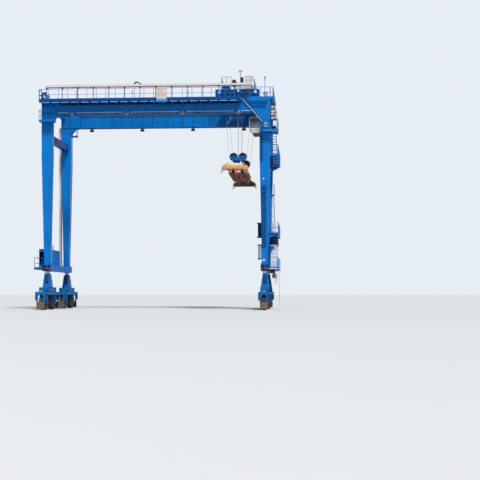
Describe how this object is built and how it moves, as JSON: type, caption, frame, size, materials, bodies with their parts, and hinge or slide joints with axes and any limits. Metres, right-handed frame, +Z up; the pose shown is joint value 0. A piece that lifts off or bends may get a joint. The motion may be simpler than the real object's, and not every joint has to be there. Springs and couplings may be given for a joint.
{
  "type": "rubber tyred gantry crane",
  "caption": "Blue rubber tyred gantry crane with a travelling trolley, hanging cabin, rope-hung spreader and swivelling wheel bogies",
  "frame": {"origin": "on the ground, in the middle of the four corners of the bounding box's underside", "axes": "X along the span to the right, Y along the driving direction to the rear, Z up"},
  "size_m": [26.39, 12.285, 25.5003],
  "materials": {
    "blue_paint": "semi-gloss sea-blue paint, weathered",
    "white_paint": "white paint, satin",
    "beige_paint": "beige paint, satin",
    "yellow_paint": "worn orange-yellow paint",
    "red_paint": "red machinery paint",
    "galvanised": "hot-dip galvanised, dull",
    "dark_steel": "dark greased steel",
    "chain_plastic": "black plastic",
    "tyre_rubber": "dusty black rubber",
    "pane_glass": "tinted clear pane"
  },
  "bodies": {
    "gantry": {"front_girder": "blue_paint", "rear_girder": "blue_paint", "front_left_leg": "blue_paint", "rear_left_leg": "blue_paint", "front_right_leg": "blue_paint", "rear_right_leg": "blue_paint", "sill_beams": "blue_paint", "tie_beams": "blue_paint", "slewing_rings": "white_paint", "trolley_rails": "dark_steel", "walkways": "blue_paint", "walkway_handrails": "blue_paint", "end_platforms": "blue_paint", "end_handrails": "blue_paint", "cable_tray": "galvanised", "cable_chain": "chain_plastic", "walkway_cabinet": "beige_paint", "floodlights": "galvanised", "leg_platforms": "blue_paint", "leg_handrails": "blue_paint", "stair_stringers": "blue_paint", "stair_treads": "galvanised", "ladders": "blue_paint", "sill_platforms": "blue_paint", "electrical_house": "white_paint", "resistor_box": "dark_steel", "power_pack": "blue_paint", "leg_boxes": "white_paint"},
    "trolley": {"trolley_frame": "blue_paint", "trolley_wheels": "dark_steel", "hoist_drums": "dark_steel", "hoist_drive": "red_paint", "trolley_handrails": "blue_paint", "trolley_cabinet": "white_paint", "trolley_mast": "dark_steel", "operator_cabin": "blue_paint", "cabin_windows": "pane_glass", "hoist_ropes": "dark_steel"},
    "hoist": {"headblock": "blue_paint", "headblock_sheaves": "dark_steel", "spreader_frame": "blue_paint"},
    "front_beam": {"front_spreader_beam": "yellow_paint"},
    "rear_beam": {"rear_spreader_beam": "yellow_paint"},
    "front_left_guide_body": {"front_left_guide": "yellow_paint"},
    "front_left_bogie_body": {"front_left_bogie": "blue_paint"},
    "front_left_outer_wheel_body": {"front_left_outer_wheel": "tyre_rubber"},
    "front_left_inner_wheel_body": {"front_left_inner_wheel": "tyre_rubber"},
    "front_right_guide_body": {"front_right_guide": "yellow_paint"},
    "front_right_bogie_body": {"front_right_bogie": "blue_paint"},
    "front_right_outer_wheel_body": {"front_right_outer_wheel": "tyre_rubber"},
    "front_right_inner_wheel_body": {"front_right_inner_wheel": "tyre_rubber"},
    "rear_left_guide_body": {"rear_left_guide": "yellow_paint"},
    "rear_left_bogie_body": {"rear_left_bogie": "blue_paint"},
    "rear_left_outer_wheel_body": {"rear_left_outer_wheel": "tyre_rubber"},
    "rear_left_inner_wheel_body": {"rear_left_inner_wheel": "tyre_rubber"},
    "rear_right_guide_body": {"rear_right_guide": "yellow_paint"},
    "rear_right_bogie_body": {"rear_right_bogie": "blue_paint"},
    "rear_right_outer_wheel_body": {"rear_right_outer_wheel": "tyre_rubber"},
    "rear_right_inner_wheel_body": {"rear_right_inner_wheel": "tyre_rubber"}
  },
  "joints": [
    {"name": "trolley_travel", "type": "slide", "parent": "gantry", "child": "trolley", "axis": [1, 0, 0], "range_m": [-17.9, 0.3]},
    {"name": "hoisting", "type": "slide", "parent": "trolley", "child": "hoist", "axis": [0, 0, 1], "range_m": [-11.6, 4], "deforming": ["hoist_ropes"]},
    {"name": "front_telescope", "type": "slide", "parent": "hoist", "child": "front_beam", "axis": [0, 1, 0], "range_m": [0, 3.05]},
    {"name": "rear_telescope", "type": "slide", "parent": "hoist", "child": "rear_beam", "axis": [0, -1, 0], "range_m": [0, 3.05]},
    {"name": "front_left_guide_swing", "type": "hinge", "parent": "front_beam", "child": "front_left_guide_body", "pos_m": [7.4755, -5.9925, 14.73], "axis": [0, 1, 0], "range_deg": [0, 170]},
    {"name": "front_right_guide_swing", "type": "hinge", "parent": "front_beam", "child": "front_right_guide_body", "pos_m": [10.1045, -5.9925, 14.73], "axis": [0, -1, 0], "range_deg": [0, 170]},
    {"name": "rear_left_guide_swing", "type": "hinge", "parent": "rear_beam", "child": "rear_left_guide_body", "pos_m": [7.4755, 5.9925, 14.73], "axis": [0, 1, 0], "range_deg": [0, 170]},
    {"name": "rear_right_guide_swing", "type": "hinge", "parent": "rear_beam", "child": "rear_right_guide_body", "pos_m": [10.1045, 5.9925, 14.73], "axis": [0, -1, 0], "range_deg": [0, 170]},
    {"name": "front_left_steering", "type": "hinge", "parent": "gantry", "child": "front_left_bogie_body", "pos_m": [-11.735, -3.2, 3.9], "axis": [0, 0, 1], "range_deg": [0, 90]},
    {"name": "front_left_outer_roll", "type": "hinge", "parent": "front_left_bogie_body", "child": "front_left_outer_wheel_body", "pos_m": [-11.735, -4.4, 0.875], "axis": [1, 0, 0], "continuous": true},
    {"name": "front_left_inner_roll", "type": "hinge", "parent": "front_left_bogie_body", "child": "front_left_inner_wheel_body", "pos_m": [-11.735, -2, 0.875], "axis": [1, 0, 0], "continuous": true},
    {"name": "front_right_steering", "type": "hinge", "parent": "gantry", "child": "front_right_bogie_body", "pos_m": [11.735, -3.2, 3.9], "axis": [0, 0, 1], "range_deg": [0, 90]},
    {"name": "front_right_outer_roll", "type": "hinge", "parent": "front_right_bogie_body", "child": "front_right_outer_wheel_body", "pos_m": [11.735, -4.4, 0.875], "axis": [1, 0, 0], "continuous": true},
    {"name": "front_right_inner_roll", "type": "hinge", "parent": "front_right_bogie_body", "child": "front_right_inner_wheel_body", "pos_m": [11.735, -2, 0.875], "axis": [1, 0, 0], "continuous": true},
    {"name": "rear_left_steering", "type": "hinge", "parent": "gantry", "child": "rear_left_bogie_body", "pos_m": [-11.735, 3.2, 3.9], "axis": [0, 0, 1], "range_deg": [0, 90]},
    {"name": "rear_left_outer_roll", "type": "hinge", "parent": "rear_left_bogie_body", "child": "rear_left_outer_wheel_body", "pos_m": [-11.735, 4.4, 0.875], "axis": [1, 0, 0], "continuous": true},
    {"name": "rear_left_inner_roll", "type": "hinge", "parent": "rear_left_bogie_body", "child": "rear_left_inner_wheel_body", "pos_m": [-11.735, 2, 0.875], "axis": [1, 0, 0], "continuous": true},
    {"name": "rear_right_steering", "type": "hinge", "parent": "gantry", "child": "rear_right_bogie_body", "pos_m": [11.735, 3.2, 3.9], "axis": [0, 0, 1], "range_deg": [0, 90]},
    {"name": "rear_right_outer_roll", "type": "hinge", "parent": "rear_right_bogie_body", "child": "rear_right_outer_wheel_body", "pos_m": [11.735, 4.4, 0.875], "axis": [1, 0, 0], "continuous": true},
    {"name": "rear_right_inner_roll", "type": "hinge", "parent": "rear_right_bogie_body", "child": "rear_right_inner_wheel_body", "pos_m": [11.735, 2, 0.875], "axis": [1, 0, 0], "continuous": true}
  ],
  "couplings": [
    {"joint": "rear_telescope", "follows": "front_telescope", "ratio": 1}
  ]
}
